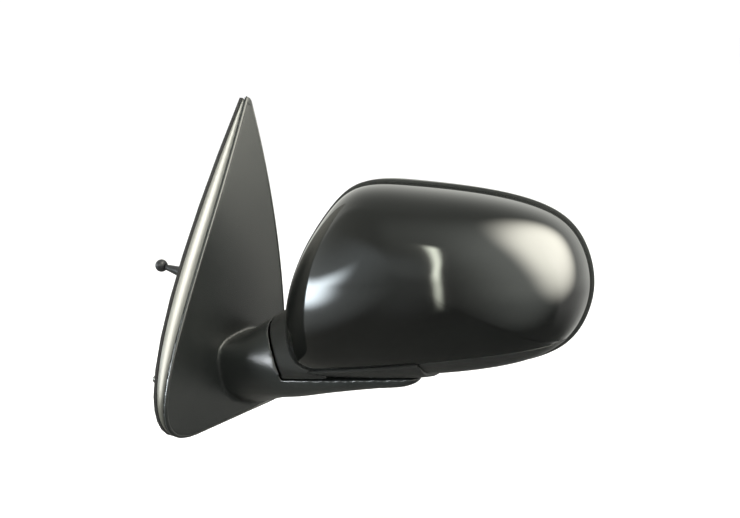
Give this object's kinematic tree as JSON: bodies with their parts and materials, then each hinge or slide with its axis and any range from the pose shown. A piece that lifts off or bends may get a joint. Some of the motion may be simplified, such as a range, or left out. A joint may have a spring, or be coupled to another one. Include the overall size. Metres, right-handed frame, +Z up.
{
  "type": "car side mirror",
  "caption": "Foldaway car door mirror with a triangular sail foot, a rounded gloss head, a tilting glass and an inside adjusting stick on cables.",
  "frame": {"origin": "middle of the cast bracket's flat door face, on the door's outer surface", "axes": "+X out from the left-hand door, +Y to the rear of the car, +Z up; the fold axis leans 5 degrees towards the car"},
  "size_m": [0.338, 0.1707, 0.2557],
  "materials": {
    "grained_black": "fine-grained moulded black",
    "satin_black": "smooth satin moulded black",
    "gloss_black": "smooth high-gloss black",
    "nylon": "moulded nylon",
    "foam": "closed-cell foam",
    "sheath": "smooth cable sheath",
    "zinc_casting": "as-cast light alloy",
    "steel": "bright zinc-plated steel",
    "mirror_coat": "silvered convex glass"
  },
  "bodies": {
    "foot": {"base_cover": "grained_black", "sail_frame": "satin_black", "door_gasket": "foam", "base_bracket": "zinc_casting", "stud_upper": "steel", "stud_front": "steel", "stud_rear": "steel", "pivot_post": "steel", "stop_ring": "steel", "fold_spring": "steel", "spring_washer": "steel", "retaining_ring": "steel", "stick_socket": "nylon", "socket_screw_1": "steel", "socket_screw_2": "steel", "foot_cable_1": "sheath", "foot_cable_2": "sheath", "foot_cable_3": "sheath"},
    "head": {"slot_ring": "steel", "front_cap": "gloss_black", "lower_trim": "grained_black", "mirror_housing": "grained_black", "head_frame": "zinc_casting", "frame_screw_1": "steel", "frame_screw_2": "steel", "frame_screw_3": "steel", "glass_mount": "nylon", "mount_screw_1": "steel", "mount_screw_2": "steel", "mount_screw_3": "steel", "head_cable_1": "sheath", "head_cable_2": "sheath", "head_cable_3": "sheath"},
    "glass_ring": {"glass_cross": "nylon"},
    "glass": {"glass_backing": "nylon", "mirror_glass": "mirror_coat", "glass_wire_1": "steel", "glass_wire_2": "steel", "glass_wire_3": "steel"},
    "stick_gimbal": {"stick_ring": "nylon"},
    "stick": {"adjusting_stick": "nylon", "stick_wire_1": "steel", "stick_wire_2": "steel", "stick_wire_3": "steel"}
  },
  "joints": [
    {"name": "fold_hinge", "type": "hinge", "parent": "foot", "child": "head", "pos_m": [0.1, 0.02, -0.0268], "axis": [-0.0872, 0, 0.9962], "range_deg": [-40, 70]},
    {"name": "glass_pan", "type": "hinge", "parent": "head", "child": "glass_ring", "pos_m": [0.19201, 0.05266, 0.05553], "axis": [-0.0872, 0, 0.9962], "range_deg": [-7, 7]},
    {"name": "glass_tilt", "type": "hinge", "parent": "glass_ring", "child": "glass", "pos_m": [0.19201, 0.05266, 0.05553], "axis": [0.9811, 0.1736, 0.0858], "range_deg": [-7, 7]},
    {"name": "stick_pan", "type": "hinge", "parent": "foot", "child": "stick_gimbal", "pos_m": [-0.014, -0.0085, 0.0428], "axis": [0.1908, 0, 0.9816], "range_deg": [-12.6, 12.6]},
    {"name": "stick_tilt", "type": "hinge", "parent": "stick_gimbal", "child": "stick", "pos_m": [-0.014, -0.0085, 0.0428], "axis": [0, 1, 0], "range_deg": [-12.6, 12.6]}
  ],
  "couplings": [
    {"joint": "stick_pan", "follows": "glass_pan", "ratio": 1.7805},
    {"joint": "stick_tilt", "follows": "glass_tilt", "ratio": 1.7805}
  ]
}
